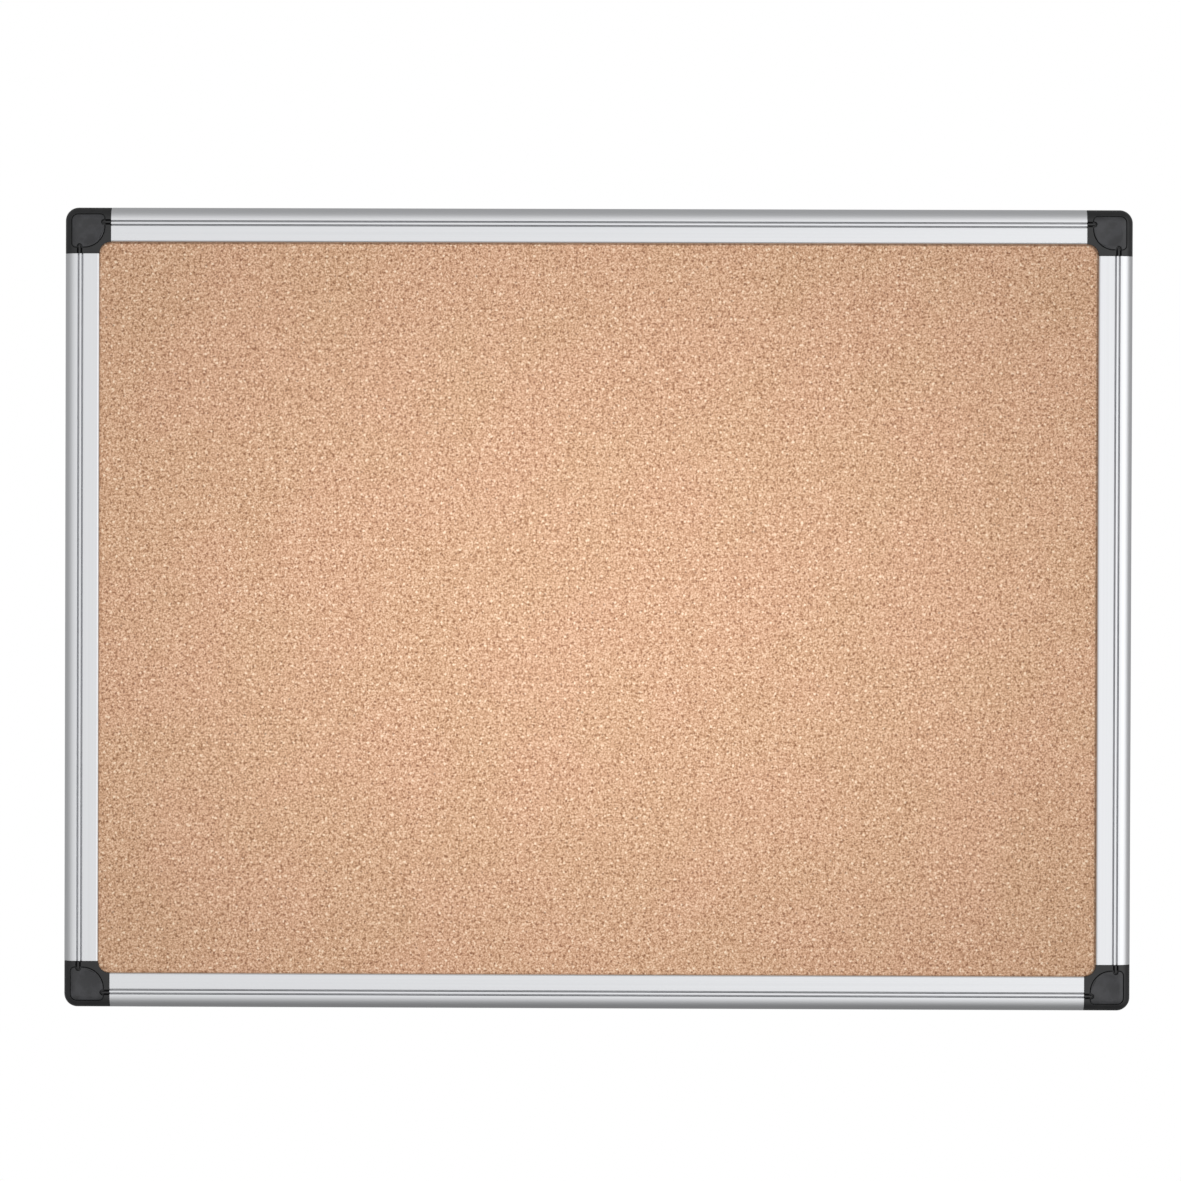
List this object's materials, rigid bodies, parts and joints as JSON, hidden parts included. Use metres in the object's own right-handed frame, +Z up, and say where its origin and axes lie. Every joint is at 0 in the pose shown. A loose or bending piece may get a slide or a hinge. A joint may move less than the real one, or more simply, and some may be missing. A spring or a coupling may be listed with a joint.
{
  "type": "cork bulletin board",
  "caption": "Wall-hung cork pin board: a cork and softboard panel in a grooved aluminium frame, with black moulded corners whose snap-in covers hide the wall-screw holes.",
  "frame": {"origin": "centre of the wall-screw pattern, on the plane of the board's back", "axes": "+X to the right along the long side as seen from the front, +Y into the wall, +Z up; the cork faces -Y"},
  "size_m": [0.6, 0.014, 0.45],
  "materials": {
    "cork": "matt, fine-grained natural cork",
    "softboard": "matt pressed wood fibre",
    "kraft": "matt brown kraft sheet",
    "anodised_aluminium": "satin natural anodised",
    "black_plastic": "satin black moulded plastic",
    "cover_plastic": "satin black moulded plastic",
    "zinc_steel": "bright zinc plating"
  },
  "bodies": {
    "frame": {"cork_sheet": "cork", "core_board": "softboard", "backing_sheet": "kraft", "rail_top": "anodised_aluminium", "rail_bottom": "anodised_aluminium", "rail_left": "anodised_aluminium", "rail_right": "anodised_aluminium", "corner_top_left": "black_plastic", "corner_top_right": "black_plastic", "corner_bottom_left": "black_plastic", "corner_bottom_right": "black_plastic", "screw_top_left_a": "zinc_steel", "screw_top_left_b": "zinc_steel", "screw_top_right_a": "zinc_steel", "screw_top_right_b": "zinc_steel", "screw_bottom_left_a": "zinc_steel", "screw_bottom_left_b": "zinc_steel", "screw_bottom_right_a": "zinc_steel", "screw_bottom_right_b": "zinc_steel"},
    "top_left_cover": {"cover_top_left": "cover_plastic"},
    "top_right_cover": {"cover_top_right": "cover_plastic"},
    "bottom_left_cover": {"cover_bottom_left": "cover_plastic"},
    "bottom_right_cover": {"cover_bottom_right": "cover_plastic"}
  },
  "joints": [
    {"name": "top_left_cover_pull", "type": "slide", "parent": "frame", "child": "top_left_cover", "axis": [0, -1, 0], "range_m": [0, 0.012]},
    {"name": "top_right_cover_pull", "type": "slide", "parent": "frame", "child": "top_right_cover", "axis": [0, -1, 0], "range_m": [0, 0.012]},
    {"name": "bottom_left_cover_pull", "type": "slide", "parent": "frame", "child": "bottom_left_cover", "axis": [0, -1, 0], "range_m": [0, 0.012]},
    {"name": "bottom_right_cover_pull", "type": "slide", "parent": "frame", "child": "bottom_right_cover", "axis": [0, -1, 0], "range_m": [0, 0.012]}
  ]
}
